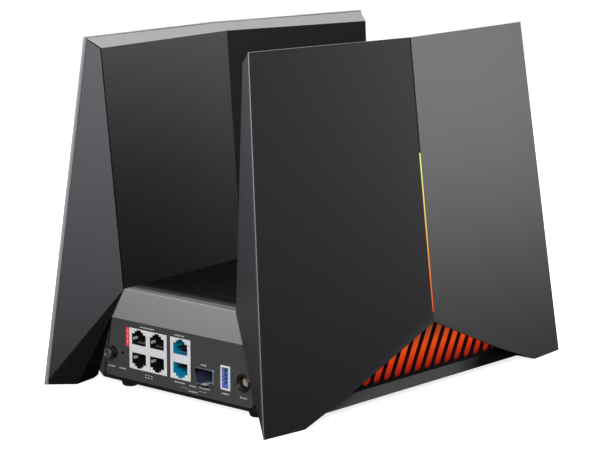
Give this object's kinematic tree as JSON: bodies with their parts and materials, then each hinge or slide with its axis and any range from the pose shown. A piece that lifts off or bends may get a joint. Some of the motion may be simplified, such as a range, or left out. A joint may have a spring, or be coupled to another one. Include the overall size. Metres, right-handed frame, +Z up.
{
  "type": "wireless router",
  "caption": "Wireless router with a low louvred body between two tall folded antenna wings, lit creases, glowing side grilles and a rear row of sockets and buttons.",
  "frame": {"origin": "on the table, under the centre of the footprint", "axes": "+Z up, +Y towards the sockets at the rear, +X towards the reset and power buttons' side, which is right seen from the front"},
  "size_m": [0.2002, 0.2852, 0.215],
  "materials": {
    "graphite_panel": "fine matte texture",
    "grey_frame": "fine matte texture",
    "grey_cover": "satin",
    "base_plastic": "fine matte texture",
    "port_panel": "fine matte texture",
    "grille_black": "semi gloss",
    "trim_black": "gloss",
    "glow_orange": "translucent, lit",
    "light_amber": "translucent, lit",
    "circuit_board": "solder resist",
    "rubber": "matte",
    "black_plastic": "matte",
    "tinned_steel": "bright tin",
    "pad_grey": "soft silicone",
    "sink_aluminium": "extruded",
    "contact_gold": "gold plate",
    "antenna_board": "copper on laminate",
    "cable_black": "satin",
    "jack_white": "satin",
    "jack_teal": "satin",
    "usb_blue": "satin",
    "inlet_black": "satin",
    "sleeve_nickel": "nickel",
    "button_grey": "satin",
    "button_white": "satin",
    "screw_steel": "zinc"
  },
  "bodies": {
    "chassis": {"base_tray": "base_plastic", "top_cover": "grey_cover", "rear_panel": "port_panel", "front_panel": "port_panel", "left_side_grille": "grille_black", "right_side_grille": "grille_black", "left_glow_guide": "glow_orange", "right_glow_guide": "glow_orange", "left_glow_board": "circuit_board", "right_glow_board": "circuit_board", "rubber_feet": "rubber", "main_board": "circuit_board", "chips": "black_plastic", "shield_cans": "tinned_steel", "thermal_pads": "pad_grey", "heat_sink": "sink_aluminium", "heat_spreader": "sink_aluminium", "network_transformers": "black_plastic", "capacitors": "black_plastic", "antenna_sockets": "contact_gold", "lan_jacks": "jack_white", "wan_jacks": "jack_teal", "jack_contacts": "contact_gold", "sfp_cage": "tinned_steel", "sfp_connector": "black_plastic", "usb_shell": "tinned_steel", "usb_tongue": "usb_blue", "power_inlet": "inlet_black", "inlet_sleeve": "sleeve_nickel", "power_switch": "black_plastic", "reset_switch": "black_plastic", "board_screws": "screw_steel", "cover_screws": "screw_steel", "wing_screws": "screw_steel", "left_outer_panel": "graphite_panel", "right_outer_panel": "graphite_panel", "left_wing_frame": "grey_frame", "right_wing_frame": "grey_frame", "left_inner_cover": "grey_cover", "right_inner_cover": "grey_cover", "left_light_bar": "light_amber", "right_light_bar": "light_amber", "left_crease_trim": "trim_black", "right_crease_trim": "trim_black", "left_light_board": "circuit_board", "right_light_board": "circuit_board", "left_antennas": "antenna_board", "right_antennas": "antenna_board", "left_antenna_cables": "cable_black", "right_antenna_cables": "cable_black"},
    "power_button": {"power_button": "button_grey"},
    "reset_button": {"reset_button": "button_white"}
  },
  "joints": [
    {"name": "power_press", "type": "slide", "parent": "chassis", "child": "power_button", "axis": [0, -1, 0], "range_m": [0, 0.0018], "stiffness_N_per_m": 900},
    {"name": "reset_press", "type": "slide", "parent": "chassis", "child": "reset_button", "axis": [0, -1, 0], "range_m": [0, 0.0005], "stiffness_N_per_m": 1500}
  ]
}
